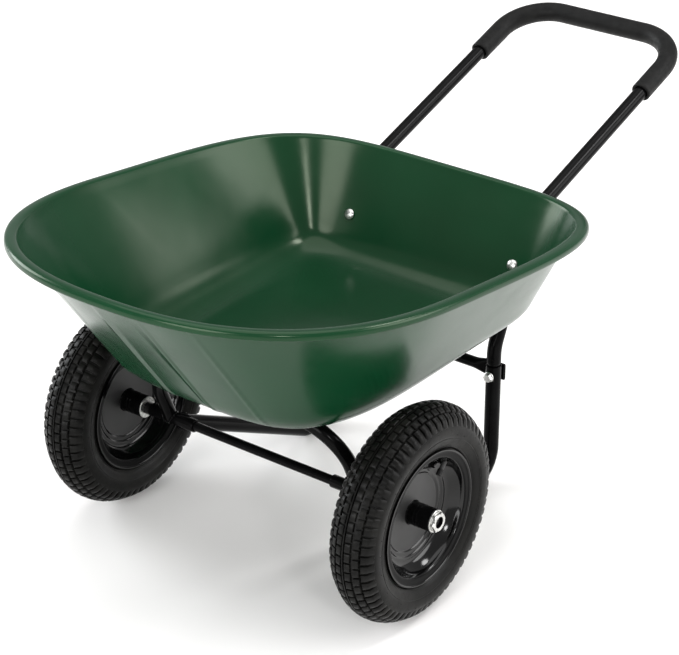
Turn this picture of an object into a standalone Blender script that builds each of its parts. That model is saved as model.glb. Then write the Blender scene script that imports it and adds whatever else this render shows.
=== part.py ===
"""Two-wheeled garden cart: a pressed steel tray on a bent-tube frame with a U handle.

Metres, +Z up. The nose points to -Y, the handle to +Y, and the operator's left is +X.
The box of the whole cart is centred on X = Y = 0 and stands on Z = 0.
"""
import math

import bmesh
import bpy
from mathutils import Matrix, Vector

# Lengths along Y are measured from the axle. place() moves them all by AXLE_Y, which brings the
# middle of the whole cart to Y = 0.
AXLE_Y = -0.3006
# Pieces that touch or are welded keep this gap
GAP = 0.0003
COPE_GAP = 0.00045
SIDES = ((1, "left"), (-1, "right"))

# Wheels
TYRE_RADIUS = 0.165
WHEEL_X = 0.271
AXLE_RADIUS = 0.0072
AXLE_BORE = 0.0076
AXLE_HALF = 0.3168
AXLE_CHAMFER = 0.001
HUB_HALF = 0.040
HUB_RADIUS = 0.0172
HUB_BORE = 0.0135
BEARING_SEAT = 0.0163
BEARING_SEAT_X = 0.0295
WASHER_THICK = 0.0024
WASHER_RADIUS = 0.017
AXLE_NUT_RADIUS = 0.0155
AXLE_NUT_THICK = 0.0060
SLEEVE_RADIUS = 0.010
SLEEVE_INNER_X = 0.131
BEARING_SHIFT = 0.0348
BEARING_RINGS = ((-0.005, 0.0078), (-0.005, 0.0160), (0.005, 0.0160), (0.005, 0.0078))
INNER_TUBE_WALL = 0.0025
RIM_SHEET = 0.0016
# Centre line of one rim half: distance from the wheel's middle plane, radius
RIM_LINE = ((0.00095, 0.0178), (0.00095, 0.0580), (0.0030, 0.0640), (0.0058, 0.0700), (0.0082, 0.0790),
            (0.0210, 0.0883), (0.0275, 0.0905), (0.0299, 0.0942), (0.0313, 0.1024))
VALVE_SHIFT = 0.0145
VALVE_ANGLE = math.radians(45)
VALVE_BASE = 0.0938
VALVE_CAP_DROP = 0.0224
VALVE_HOLE = 0.0046

# Tray
NOSE_Y = -0.3425
REAR_RIM_Y = 0.4915
RIM_HALF = 0.3367
RIM_WIDEST_Y = 0.0232
RIM_Z = 0.519
RIM_SLOPE = -0.1173
RIM_POWERS = (2.41, 4.41)
FLANGE_WIDTH = 0.019
FLANGE_DROP = 0.007
# Section of the rim beyond the wall: inset from its outer edge, drop below its highest line
RIM_SECTION = ((0.0165, 0.0014), (0.011, 0.0), (0.0035, 0.0008), (0.0, 0.0045), (0.0, 0.0120))
FLOOR_Z = 0.2975
FLOOR_HALF = 0.213
FLOOR_WIDEST_Y = 0.200
FLOOR_FRONT_Y = -0.138
FLOOR_REAR_Y = 0.3945
FLOOR_POWERS = (4.0, 10.0)
FLOOR_INSET = 0.045
WALL_FOOT = 0.2
SHEET = 0.0012
CREASE_DEPTH = 0.003
CREASE_COLUMNS = (1, 3)

# Frame tubes
CROSSBAR_Y = 0.9274
HANDLE_RADIUS = 0.0115
HANDLE_BORE = 0.0102
PLUG_RADIUS = 0.0102
PLUG_BORE = 0.0088
LEG_RADIUS = 0.0122
LEG_BORE = 0.0109
ARCH_RADIUS = 0.011
ARCH_BORE = 0.0097
PLUG_LENGTH = 0.042
SWAGE_LENGTH = 0.004
HANDLE_HALF = 0.157
HANDLE_TOP_Z = 0.5733
HANDLE_RISE = 0.3269
LEG_Y = 0.379
LEG_TOP_Z = 0.2025
LEG_BEND_Z = 0.2328
KNEE_Y = 0.466
KNEE_BEND = 0.060
CROSSBAR_BEND = 0.078
BACK_SLOPE = 2.174
SKID_FRONT_Y = 0.3038
LEG_BEND = 0.045
GRIP_RADIUS = 0.0166
GRIP_BORE = 0.0123
GRIP_END_Y = 0.789
ARCH_HALF = 0.180
ARCH_BEND = 0.080
ARCH_LEAN = math.radians(22.4)
CROWN_Z = FLOOR_Z - SHEET - GAP - ARCH_RADIUS
BRACE_Z = 0.186
BRACE_HALF = 0.168
BRACE_FLAT_X = 0.140
BRACE_ROUND_X = 0.112
BRACE_RADIUS = 0.009
BRACE_FLAT_DEPTH = 0.0027
BRACE_FLAT_HEIGHT = 0.014
BRACE_WALL = 0.0014
BRACE_Y = LEG_Y + LEG_RADIUS + GAP + BRACE_FLAT_DEPTH

# Fasteners (M8)
BOLT_RADIUS = 0.0039
HOLE_RADIUS = 0.0045
NUT_RADIUS = 0.0075
NUT_HEIGHT = 0.0065
BOLT_TAIL = 0.003
ARCH_BOLT_X = 0.088
WALL_BOLT_Z = 0.352
WALL_BOLT_STANDOFF = 0.0028

BLACK_PAINT = ((0.012, 0.012, 0.013), 0.28, 0.0)
GREEN_PAINT = ((0.012, 0.085, 0.045), 0.25, 0.0)
RUBBER = ((0.022, 0.022, 0.023), 0.75, 0.0)
FOAM = ((0.018, 0.018, 0.019), 0.9, 0.0)
ZINC = ((0.62, 0.62, 0.60), 0.3, 1.0)
STEEL = ((0.35, 0.35, 0.36), 0.35, 1.0)
BRASS = ((0.60, 0.45, 0.20), 0.35, 1.0)


def clear_scene():
    for obj in list(bpy.data.objects):
        bpy.data.objects.remove(obj, do_unlink=True)


def place(x, y, z):
    """A point given with Y measured from the axle, in the part's own frame."""
    return Vector((x, y + AXLE_Y, z))


def material(name, look):
    colour, roughness, metallic = look
    mat = bpy.data.materials.new(name)
    mat.use_nodes = True
    shader = mat.node_tree.nodes["Principled BSDF"]
    shader.inputs["Base Color"].default_value = (*colour, 1.0)
    shader.inputs["Roughness"].default_value = roughness
    shader.inputs["Metallic"].default_value = metallic
    return mat


def add_object(name, bm, look, smooth_angle=35.0):
    """Make a named object with its own material from a closed bmesh."""
    bmesh.ops.recalc_face_normals(bm, faces=bm.faces)
    mesh = bpy.data.meshes.new(name)
    bm.to_mesh(mesh)
    bm.free()
    mesh.shade_smooth()
    mesh.set_sharp_from_angle(angle=math.radians(smooth_angle))
    mesh.materials.append(material(name, look))
    obj = bpy.data.objects.new(name, mesh)
    bpy.context.scene.collection.objects.link(obj)
    return obj


def bridge_rings(bm, rings, closed):
    """Join rings of vertices with quads, back to the first ring or with a cap on each end."""
    pairs = list(zip(rings, rings[1:]))
    if closed:
        pairs.append((rings[-1], rings[0]))
    else:
        bm.faces.new(rings[0])
        bm.faces.new(rings[-1])
    for low, high in pairs:
        for i, vert in enumerate(low):
            j = (i + 1) % len(low)
            bm.faces.new((vert, low[j], high[j], high[i]))


def hexagon(angle):
    """Radius of a hexagon of corner radius 1 at an angle."""
    wedge = angle % (math.pi / 3) - math.pi / 6
    return math.cos(math.pi / 6) / math.cos(wedge)


def turned(name, rings, look, segments, closed=False):
    """A turned piece about Z from (height, radius) rings; a third value "hex" makes a hexagon."""
    bm = bmesh.new()
    loops = []
    for height, radius, *shape in rings:
        loop = []
        for i in range(segments):
            angle = 2 * math.pi * i / segments
            r = radius * (hexagon(angle) if shape else 1.0)
            loop.append(bm.verts.new((r * math.cos(angle), r * math.sin(angle), height)))
        loops.append(loop)
    bridge_rings(bm, loops, closed)
    return add_object(name, bm, look)


def aim(obj, location, direction):
    """Move a turned piece so that its own Z points along a direction."""
    obj.location = location
    obj.rotation_mode = "QUATERNION"
    obj.rotation_quaternion = Vector(direction).to_track_quat("Z", "Y")
    return obj


def bent_path(corners, radius, steps=4):
    """Points along straight runs whose corners are rounded with arcs of one radius."""
    points = [corners[0]]
    for before, corner, after in zip(corners, corners[1:], corners[2:]):
        back = (before - corner).normalized()
        ahead = (after - corner).normalized()
        half_turn = (math.pi - back.angle(ahead)) / 2
        tangent = radius * math.tan(half_turn)
        centre = corner + (back + ahead).normalized() * radius / math.cos(half_turn)
        start = corner + back * tangent - centre
        axis = start.cross(corner + ahead * tangent - centre).normalized()
        for i in range(steps + 1):
            points.append(centre + Matrix.Rotation(2 * half_turn * i / steps, 3, axis) @ start)
    points.append(corners[-1])
    return points


def tube_rings(bm, points, radii, segments):
    """Rings of vertices square to a path, carried along it without twist."""
    loops = []
    side = Vector((0, 0, 1)).cross(points[1] - points[0])
    if side.length < 1e-6:
        side = Vector((1, 0, 0))
    for i, (point, radius) in enumerate(zip(points, radii)):
        ahead = (points[min(i + 1, len(points) - 1)] - point).normalized()
        behind = (point - points[max(i - 1, 0)]).normalized()
        tangent = (ahead + behind).normalized()
        side = (side - tangent * side.dot(tangent)).normalized()
        up = tangent.cross(side)
        # On a bend the whole ring is a little larger, as a mitre needs, so the tube isn't pinched.
        turn = ahead.angle(behind) if ahead.length > 0 and behind.length > 0 else 0.0
        loop = []
        for k in range(segments):
            angle = 2 * math.pi * k / segments
            offset = side * math.cos(angle) + up * math.sin(angle)
            loop.append(bm.verts.new(point + offset * radius / math.cos(turn / 2)))
        loops.append(loop)
    return loops


def tube(name, points, outer, bore, look, segments=12):
    """A hollow tube with open ends; outer and bore are one radius, or one for each point."""
    bm = bmesh.new()
    outer = outer if isinstance(outer, list) else [outer] * len(points)
    bore = bore if isinstance(bore, list) else [bore] * len(points)
    outside = tube_rings(bm, points, outer, segments)
    inside = tube_rings(bm, points, bore, segments)
    bridge_rings(bm, outside + inside[::-1], closed=True)
    return add_object(name, bm, look)


def cut_round(target, name, cuts, segments=12):
    """Cut straight round holes, each given by centre, direction, radius and length."""
    bm = bmesh.new()
    for centre, direction, radius, length in cuts:
        turn = Vector(direction).to_track_quat("Z", "Y").to_matrix().to_4x4()
        bmesh.ops.create_cone(
            bm, cap_ends=True, segments=segments, radius1=radius, radius2=radius,
            depth=length, matrix=Matrix.Translation(centre) @ turn)
    mesh = bpy.data.meshes.new(name)
    bm.to_mesh(mesh)
    bm.free()
    cutter = bpy.data.objects.new(name, mesh)
    bpy.context.scene.collection.objects.link(cutter)
    cutter.hide_render = True
    cutter.display_type = "WIRE"
    modifier = target.modifiers.new("holes", "BOOLEAN")
    modifier.operation = "DIFFERENCE"
    modifier.solver = "EXACT"
    modifier.object = cutter


# Tray


def half_outline(half, widest, front, rear, power_front, power_rear, front_steps=16, rear_steps=9):
    """Half of a tray level, nose to tail: two superellipse quarters that meet where it is widest."""
    points = []
    for i in range(front_steps + 1):
        turn = math.pi / 2 * i / front_steps
        x = half * math.sin(turn) ** (2 / power_front)
        y = widest - (widest - front) * max(math.cos(turn), 0.0) ** (2 / power_front)
        points.append((x, y))
    for i in range(rear_steps - 1, -1, -1):
        turn = math.pi / 2 * i / rear_steps
        x = half * math.sin(turn) ** (2 / power_rear)
        y = widest + (rear - widest) * math.cos(turn) ** (2 / power_rear)
        points.append((x, y))
    return points


def rim_level(inset, drop):
    """A ring parallel to the sloping rim, inset from its outer edge and dropped below it."""
    outline = half_outline(
        RIM_HALF - inset, RIM_WIDEST_Y, NOSE_Y + inset, REAR_RIM_Y - inset, *RIM_POWERS)
    return [Vector((x, y, RIM_Z + RIM_SLOPE * y - drop)) for x, y in outline]


def floor_level(inset):
    """A ring in the floor's plane, inset from the line where floor and walls would meet."""
    outline = half_outline(
        FLOOR_HALF - inset, FLOOR_WIDEST_Y, FLOOR_FRONT_Y + inset, FLOOR_REAR_Y - inset, *FLOOR_POWERS)
    return [Vector((x, y, FLOOR_Z)) for x, y in outline]


def crease(column, rise):
    """Outward press of the nose creases, which run down two columns and fade at both ends."""
    if column not in CREASE_COLUMNS:
        return Vector()
    fade = math.sin(math.pi * min(max(rise, 0.0), 1.0)) ** 0.7
    return Vector((0, -0.8, -0.6)) * CREASE_DEPTH * fade


def tray_levels():
    """Half rings of the tray's inner face, from the flat of its floor to the lip of its rim."""
    corner = floor_level(0.0)
    top = rim_level(FLANGE_WIDTH, FLANGE_DROP)
    levels = [floor_level(FLOOR_INSET)]
    for step in (0.33, 0.66):
        ring = []
        for flat, bend, high in zip(levels[0], corner, top):
            foot = bend.lerp(high, WALL_FOOT)
            ring.append(flat.lerp(bend, step).lerp(bend.lerp(foot, step), step))
        levels.append(ring)
    for rise in (WALL_FOOT, 0.45, 0.72, 1.0):
        ring = [low.lerp(high, rise) + crease(i, (rise - WALL_FOOT) / (1 - WALL_FOOT))
                for i, (low, high) in enumerate(zip(corner, top))]
        levels.append(ring)
    return levels + [rim_level(inset, drop) for inset, drop in RIM_SECTION]


def make_tray():
    """The pressed tray: a sheet through its levels, thickened outwards, with its bolt holes."""
    bm = bmesh.new()
    rings = []
    for level in tray_levels():
        mirrored = [Vector((-p.x, p.y, p.z)) for p in level[-2:0:-1]]
        rings.append([bm.verts.new(place(*p)) for p in level + mirrored])
    bridge_rings(bm, rings, closed=False)
    # The last ring is the open mouth, so its cap goes.
    bm.faces.ensure_lookup_table()
    bmesh.ops.delete(bm, geom=[bm.faces[1]], context="FACES_ONLY")
    tray = add_object("tray", bm, GREEN_PAINT, 50.0)
    floor = tray.data.polygons[0]
    if floor.normal.z < 0:
        tray.data.flip_normals()
    shell = tray.modifiers.new("sheet", "SOLIDIFY")
    shell.thickness = SHEET
    shell.offset = -1.0
    shell.use_even_offset = True
    holes = []
    for side in (-1, 1):
        holes.append((place(side * ARCH_BOLT_X, crown_y(), FLOOR_Z), (0, 0, 1), HOLE_RADIUS, 0.02))
        holes.append((wall_bolt_centre(side), wall_normal(), HOLE_RADIUS, 0.05))
    cut_round(tray, "tray_holes", holes)


# Frame


def handle_corners():
    """Corners of the handle tube's centre line, from its left plug round to its right one."""
    knee_z = HANDLE_TOP_Z + (KNEE_Y - CROSSBAR_Y) * HANDLE_RISE
    left = [(LEG_Y, LEG_TOP_Z - PLUG_LENGTH), (LEG_Y, LEG_BEND_Z), (KNEE_Y, knee_z),
            (CROSSBAR_Y, HANDLE_TOP_Z)]
    corners = [place(HANDLE_HALF, y, z) for y, z in left]
    return corners + [place(-HANDLE_HALF, y, z) for y, z in left[::-1]]


def wall_normal():
    """Direction square to the sloping back run of the handle tube, pointing to the rear."""
    return Vector((0, BACK_SLOPE, -1)).normalized()


def wall_bolt_centre(side):
    """Point on the handle tube's centre line where it is bolted to the tray's rear wall."""
    y = LEG_Y + (WALL_BOLT_Z - LEG_BEND_Z) / BACK_SLOPE
    return place(side * HANDLE_HALF, y, WALL_BOLT_Z)


def brace_cuts(length=0.05):
    """Holes along Y for the two bolts that hold the brace, the legs and the plugs."""
    return [(place(side * HANDLE_HALF, LEG_Y, BRACE_Z), (0, 1, 0), HOLE_RADIUS, length) for side in (-1, 1)]


def make_handle():
    """The U handle with a swaged plug on each lower end."""
    corners = handle_corners()
    crossbar = bent_path(corners[2:6], CROSSBAR_BEND, 6)[1:-1]
    plug_top = LEG_TOP_Z + 0.0008
    swage = [place(HANDLE_HALF, LEG_Y, z) for z in (plug_top, plug_top + SWAGE_LENGTH)]
    left = bent_path(corners[:4], KNEE_BEND, 3)[:-1]
    left = [left[0]] + swage + left[1:]
    right = [Vector((-p.x, p.y, p.z)) for p in left[::-1]]
    points = left + crossbar + right
    full = len(points) - 4
    outer = [PLUG_RADIUS] * 2 + [HANDLE_RADIUS] * full + [PLUG_RADIUS] * 2
    bore = [PLUG_BORE] * 2 + [HANDLE_BORE] * full + [PLUG_BORE] * 2
    handle = tube("handle_tube", points, outer, bore, BLACK_PAINT)
    holes = [(wall_bolt_centre(side), wall_normal(), HOLE_RADIUS, 0.05) for side in (-1, 1)]
    cut_round(handle, "handle_holes", holes + brace_cuts())


def make_grip():
    """One foam sleeve over the crossbar and both of its bends."""
    corners = handle_corners()
    end_z = HANDLE_TOP_Z + (GRIP_END_Y - CROSSBAR_Y) * HANDLE_RISE
    ends = [place(side * HANDLE_HALF, GRIP_END_Y, end_z) for side in (1, -1)]
    points = bent_path([ends[0], corners[3], corners[4], ends[1]], CROSSBAR_BEND, 6)
    tube("foam_grip", points, GRIP_RADIUS, GRIP_BORE, FOAM)


def make_legs():
    """Each leg drops from the handle, turns along the ground and rises to the axle sleeve."""
    rise = Vector((0, SKID_FRONT_Y, LEG_RADIUS - TYRE_RADIUS)).normalized()
    for side, word in SIDES:
        x = side * HANDLE_HALF
        end = place(x, 0, TYRE_RADIUS) + rise * 0.003
        points = bent_path([
            place(x, LEG_Y, LEG_TOP_Z), place(x, LEG_Y, LEG_RADIUS),
            place(x, SKID_FRONT_Y, LEG_RADIUS), end], LEG_BEND)
        leg = tube("leg_" + word, points, LEG_RADIUS, LEG_BORE, BLACK_PAINT)
        cope = (place(x, 0, TYRE_RADIUS), (1, 0, 0), SLEEVE_RADIUS + COPE_GAP, 0.06)
        cut_round(leg, "leg_cuts_" + word, brace_cuts() + [cope])


def arch_point(x, height):
    """A point in the arch's leaning plane, at a height along the lean above the axle."""
    return place(x, -height * math.sin(ARCH_LEAN), TYRE_RADIUS + height * math.cos(ARCH_LEAN))


def crown_height():
    """Height of the arch's top centre line above the axle, along the lean."""
    return (CROWN_Z - TYRE_RADIUS) / math.cos(ARCH_LEAN)


def crown_y():
    return -crown_height() * math.sin(ARCH_LEAN)


def make_arch():
    """The leaning arch that carries the front of the tray from the axle sleeves."""
    crown = crown_height()
    corners = [arch_point(ARCH_HALF, 0.003), arch_point(ARCH_HALF, crown),
               arch_point(-ARCH_HALF, crown), arch_point(-ARCH_HALF, 0.003)]
    arch = tube("front_arch", bent_path(corners, ARCH_BEND, 6), ARCH_RADIUS, ARCH_BORE, BLACK_PAINT)
    cuts = [(place(0, 0, TYRE_RADIUS), (1, 0, 0), SLEEVE_RADIUS + COPE_GAP, 0.4)]
    for side in (-1, 1):
        cuts.append((place(side * ARCH_BOLT_X, crown_y(), CROWN_Z), (0, 0, 1), HOLE_RADIUS, 0.03))
    cut_round(arch, "arch_cuts", cuts)


def flat_ring(bm, x, depth, height, power, segments=12):
    """A superellipse ring square to X, used to flatten a tube end."""
    loop = []
    for i in range(segments):
        angle = 2 * math.pi * i / segments
        c, s = math.cos(angle), math.sin(angle)
        y = depth * math.copysign(abs(c) ** (2 / power), c)
        z = height * math.copysign(abs(s) ** (2 / power), s)
        loop.append(bm.verts.new(place(x, BRACE_Y + y, BRACE_Z + z)))
    return loop


def make_brace():
    """Cross tube behind the legs, with both ends pressed flat for the bolts."""
    bm = bmesh.new()
    flat = (BRACE_FLAT_DEPTH, BRACE_FLAT_HEIGHT, 4.0)
    sections = [(BRACE_HALF, *flat), (BRACE_FLAT_X, *flat),
                (BRACE_ROUND_X, BRACE_RADIUS, BRACE_RADIUS, 2.0)]
    sections += [(-x, *shape) for x, *shape in sections[::-1]]
    outside = [flat_ring(bm, x, d, h, p) for x, d, h, p in sections]
    inside = [flat_ring(bm, x, d - BRACE_WALL, h - BRACE_WALL, p) for x, d, h, p in sections]
    bridge_rings(bm, outside + inside[::-1], closed=True)
    brace = add_object("rear_cross_brace", bm, BLACK_PAINT)
    cut_round(brace, "brace_holes", brace_cuts(0.08))


def make_bolt(name, location, direction, grip_length, domed=False):
    """A flanged hexagon bolt, or a domed coach bolt, whose head sits behind the location."""
    shank_end = grip_length + NUT_HEIGHT + BOLT_TAIL
    if domed:
        head = [(-0.0042, 0.004), (-0.0022, 0.0080), (0.0, 0.0092)]
    else:
        head = [(-0.0072, NUT_RADIUS, "hex"), (-0.0017, NUT_RADIUS, "hex"), (-0.0016, 0.0085),
                (0.0, 0.0085)]
    shank = [(0.0, BOLT_RADIUS), (shank_end, BOLT_RADIUS)]
    aim(turned(name, head + shank, ZINC, 12), location, direction)


def make_nut(name, location, direction, corner=NUT_RADIUS, bore=HOLE_RADIUS, height=NUT_HEIGHT):
    """A hexagon nut that starts at the location."""
    rings = [(0.0, bore), (0.0, corner, "hex"), (height, corner, "hex"), (height, bore)]
    aim(turned(name, rings, ZINC, 12, closed=True), location, direction)


def make_frame_fasteners():
    """Bolts and nuts of the brace, of the arch under the floor and of the tray's rear wall."""
    for side, word in SIDES:
        front = LEG_Y - LEG_RADIUS - GAP
        rear = BRACE_Y + BRACE_FLAT_DEPTH + GAP
        make_bolt("brace_bolt_" + word, place(side * HANDLE_HALF, front, BRACE_Z), (0, 1, 0), rear - front)
        make_nut("brace_nut_" + word, place(side * HANDLE_HALF, rear, BRACE_Z), (0, 1, 0))
        top = FLOOR_Z + GAP
        under = CROWN_Z - ARCH_RADIUS - GAP
        x = side * ARCH_BOLT_X
        make_bolt("arch_bolt_" + word, place(x, crown_y(), top), (0, 0, -1), top - under, domed=True)
        make_nut("arch_nut_" + word, place(x, crown_y(), under), (0, 0, -1))
        centre, normal = wall_bolt_centre(side), wall_normal()
        reach = HANDLE_RADIUS + SHEET + WALL_BOLT_STANDOFF
        make_bolt("tray_bolt_" + word, centre - normal * reach, normal,
                  reach + HANDLE_RADIUS + GAP, domed=True)
        make_nut("tray_nut_" + word, centre + normal * (HANDLE_RADIUS + GAP), normal)


# Axle and wheels


def make_axle():
    end_radius = AXLE_RADIUS - AXLE_CHAMFER
    rings = [(-AXLE_HALF, end_radius), (-AXLE_HALF + AXLE_CHAMFER, AXLE_RADIUS),
             (AXLE_HALF - AXLE_CHAMFER, AXLE_RADIUS), (AXLE_HALF, end_radius)]
    aim(turned("axle", rings, BLACK_PAINT, 16), place(0, 0, TYRE_RADIUS), (1, 0, 0))


def make_axle_side(side, word):
    """The sleeve, washers and nut that stay still on one end of the axle."""
    outward = (side, 0, 0)
    inner_washer = WHEEL_X - HUB_HALF - GAP - WASHER_THICK
    outer_washer = WHEEL_X + HUB_HALF + GAP
    nut = outer_washer + WASHER_THICK + GAP

    def at(x):
        return place(side * x, 0, TYRE_RADIUS)

    length = inner_washer - GAP - SLEEVE_INNER_X
    sleeve = [(0.0, AXLE_BORE), (0.0, SLEEVE_RADIUS), (length, SLEEVE_RADIUS), (length, AXLE_BORE)]
    aim(turned("axle_sleeve_" + word, sleeve, BLACK_PAINT, 16, closed=True), at(SLEEVE_INNER_X), outward)
    washer = [(0.0, AXLE_BORE), (0.0, WASHER_RADIUS), (WASHER_THICK, WASHER_RADIUS),
              (WASHER_THICK, AXLE_BORE)]
    for which, x in (("inner", inner_washer), ("outer", outer_washer)):
        aim(turned(f"{which}_washer_{word}", washer, ZINC, 20, closed=True), at(x), outward)
    make_nut("axle_nut_" + word, at(nut), outward, AXLE_NUT_RADIUS, AXLE_BORE, AXLE_NUT_THICK)


def mirror_half(half):
    """A closed profile from its half: points at a positive height, then their mirror images."""
    return half + [(-height, radius) for height, radius in half[::-1]]


def tyre_profile():
    """C-shaped section of the tyre casing: beads, sidewalls, shoulders and crown."""
    outside = [(0.010, TYRE_RADIUS), (0.0225, 0.1575), (0.0325, 0.1475), (0.0375, 0.1360), (0.0372, 0.1250),
               (0.0345, 0.1120), (0.0283, 0.1045), (0.0283, 0.0965), (0.0257, 0.0925)]
    inside = [(0.0205, 0.0925), (0.0220, 0.1040), (0.0325, 0.1220), (0.0325, 0.1370), (0.0240, 0.1520)]
    return mirror_half(outside + inside)


def inner_tube_profile():
    """Section of the inner tube, a little inside the tyre casing and off the rim's barrel."""
    return mirror_half([
        (0.0160, 0.150), (0.0305, 0.136), (0.0300, 0.122), (0.0185, 0.105), (0.0150, 0.096)])


def sheet_profile(line, thickness):
    """A closed profile of even thickness about an open line of (height, radius) points."""
    sides = ([], [])
    for i, point in enumerate(line):
        before = Vector(line[max(i - 1, 0)])
        after = Vector(line[min(i + 1, len(line) - 1)])
        run = (after - before).normalized()
        normal = Vector((-run.y, run.x)) * thickness / 2
        sides[0].append(tuple(Vector(point) + normal))
        sides[1].append(tuple(Vector(point) - normal))
    return sides[0] + sides[1][::-1]


def valve_point(distance):
    """A point on the valve's own line in the wheel's frame, at a distance from the wheel's axis."""
    return Vector((VALVE_SHIFT, distance * math.sin(VALVE_ANGLE), distance * math.cos(VALVE_ANGLE)))


def make_valve(wheel, word):
    """Valve stem and cap, pointing in from the inner tube through the rim's barrel."""
    inward = valve_point(0) - valve_point(1)
    stem = [(0.0, 0.0038), (0.0215, 0.0036), (0.0220, 0.0028), (0.028, 0.0028)]
    cap = [(0.0, 0.0033), (0.0, 0.0048), (0.0090, 0.0042), (0.0090, 0.0), (0.0068, 0.0), (0.0068, 0.0033)]
    stem_obj = turned("valve_stem_" + word, stem, BRASS, 12)
    aim(stem_obj, valve_point(VALVE_BASE), inward)
    cap_obj = turned("valve_cap_" + word, cap, RUBBER, 12, closed=True)
    aim(cap_obj, valve_point(VALVE_BASE - VALVE_CAP_DROP), inward)
    stem_obj.parent = wheel
    cap_obj.parent = wheel


def make_wheel(side, word):
    """One pneumatic wheel about its own X axis, with its valve on the outside."""
    wheel = bpy.data.objects.new(word + "_wheel_axis", None)
    bpy.context.scene.collection.objects.link(wheel)
    wheel.location = place(side * WHEEL_X, 0, TYRE_RADIUS)
    wheel.rotation_euler = (0, 0, 0 if side > 0 else math.pi)
    hub = mirror_half([(BEARING_SEAT_X, HUB_BORE), (BEARING_SEAT_X, BEARING_SEAT), (HUB_HALF, BEARING_SEAT),
                       (HUB_HALF, HUB_RADIUS)])
    outer_rim = sheet_profile(RIM_LINE, RIM_SHEET)
    inner_rim = [(-height, radius) for height, radius in outer_rim]
    pieces = [
        ("tyre_", tyre_profile(), RUBBER, 32, 0.0),
        ("inner_tube_", inner_tube_profile(), RUBBER, 16, 0.0),
        ("rim_outer_", outer_rim, BLACK_PAINT, 24, 0.0),
        ("rim_inner_", inner_rim, BLACK_PAINT, 24, 0.0),
        ("hub_", hub, BLACK_PAINT, 20, 0.0),
        ("bearing_outer_", BEARING_RINGS, STEEL, 16, BEARING_SHIFT),
        ("bearing_inner_", BEARING_RINGS, STEEL, 16, -BEARING_SHIFT),
    ]
    for name, rings, look, segments, shift in pieces:
        obj = turned(name + word, list(rings), look, segments, closed=True)
        aim(obj, (shift, 0, 0), (1, 0, 0))
        obj.parent = wheel
        if name == "inner_tube_":
            add_shell(obj)
            drill_for_valve(obj, wheel, name + "hole_" + word, 0.0960, 0.0025)
        if name == "rim_outer_":
            drill_for_valve(obj, wheel, name + "hole_" + word, 0.0862, VALVE_HOLE)
    make_valve(wheel, word)


def add_shell(tube_object):
    """Hollow out the inner tube; its valve hole then opens the hollow to the air."""
    shell = tube_object.modifiers.new("rubber", "SOLIDIFY")
    shell.thickness = INNER_TUBE_WALL
    shell.offset = -1.0


def drill_for_valve(obj, wheel, name, distance, radius):
    """A radial hole for the valve, centred at a distance from the wheel's axis."""
    bpy.context.view_layer.update()
    centre = wheel.matrix_world @ valve_point(distance)
    outward = centre - wheel.matrix_world @ valve_point(0)
    cut_round(obj, name, [(centre, outward, radius, 0.02)])


def main():
    clear_scene()
    make_tray()
    make_handle()
    make_grip()
    make_legs()
    make_arch()
    make_brace()
    make_frame_fasteners()
    make_axle()
    for side, word in SIDES:
        make_axle_side(side, word)
        make_wheel(side, word)


main()
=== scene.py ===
"""Looks for the garden cart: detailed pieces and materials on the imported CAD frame.

Metres, in the row frame: the nose points to -Y, the handle to +Y, the operator's left is +X.
"""
import math
import random

import bmesh
import bpy
from mathutils import Matrix, Vector


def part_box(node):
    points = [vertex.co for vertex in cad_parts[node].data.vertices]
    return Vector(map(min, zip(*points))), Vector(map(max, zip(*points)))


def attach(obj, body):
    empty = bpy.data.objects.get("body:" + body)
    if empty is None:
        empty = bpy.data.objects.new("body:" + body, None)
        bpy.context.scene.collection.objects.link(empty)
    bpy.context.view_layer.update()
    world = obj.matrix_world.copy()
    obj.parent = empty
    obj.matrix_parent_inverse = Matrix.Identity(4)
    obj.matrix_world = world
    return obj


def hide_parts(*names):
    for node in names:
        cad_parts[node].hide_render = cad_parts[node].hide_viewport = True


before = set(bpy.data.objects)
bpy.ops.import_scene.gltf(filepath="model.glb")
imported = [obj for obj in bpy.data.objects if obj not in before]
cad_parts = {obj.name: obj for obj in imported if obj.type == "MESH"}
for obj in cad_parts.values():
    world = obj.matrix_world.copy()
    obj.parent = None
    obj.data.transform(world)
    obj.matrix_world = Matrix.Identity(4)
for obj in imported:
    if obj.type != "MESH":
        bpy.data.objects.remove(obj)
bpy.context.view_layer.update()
TAU = 2 * math.pi

# Places taken from the frame
TYRE_LOW, TYRE_HIGH = (Vector(corner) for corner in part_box("tyre_left"))
AXLE_Y = (TYRE_LOW.y + TYRE_HIGH.y) / 2
TYRE_RADIUS = (TYRE_HIGH.z - TYRE_LOW.z) / 2
WHEEL_X = (TYRE_LOW.x + TYRE_HIGH.x) / 2
HUB_HALF = (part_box("hub_left")[1][0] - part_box("hub_left")[0][0]) / 2
AXLE_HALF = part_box("axle")[1][0]
SLEEVE_INNER_X, SLEEVE_OUTER_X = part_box("axle_sleeve_left")[0][0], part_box("axle_sleeve_left")[1][0]
NOSE_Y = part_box("tray")[0][1] - AXLE_Y
REAR_RIM_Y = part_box("tray")[1][1] - AXLE_Y
RIM_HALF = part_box("tray")[1][0]

# Tray, as the CAD has it, with Y measured from the axle
RIM_WIDEST_Y = 0.0232
RIM_Z = 0.519
RIM_SLOPE = -0.1173
FLANGE_WIDTH = 0.019
FLOOR_Z = 0.2975
FLOOR_HALF = 0.213
FLOOR_WIDEST_Y = 0.200
FLOOR_FRONT_Y = -0.138
FLOOR_REAR_Y = 0.3945
FLOOR_INSET = 0.045
WALL_FOOT = 0.2
SHEET = 0.0012
# Distance from the centre line, depth, half width low down and high up, of each pair of creases
CREASES = ((0.039, 0.0019, 0.0050, 0.018), (0.125, 0.0013, 0.0045, 0.007))
NOSE_COLUMNS = 112
SIDE_COLUMNS = 30
REAR_COLUMNS = 44

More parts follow.
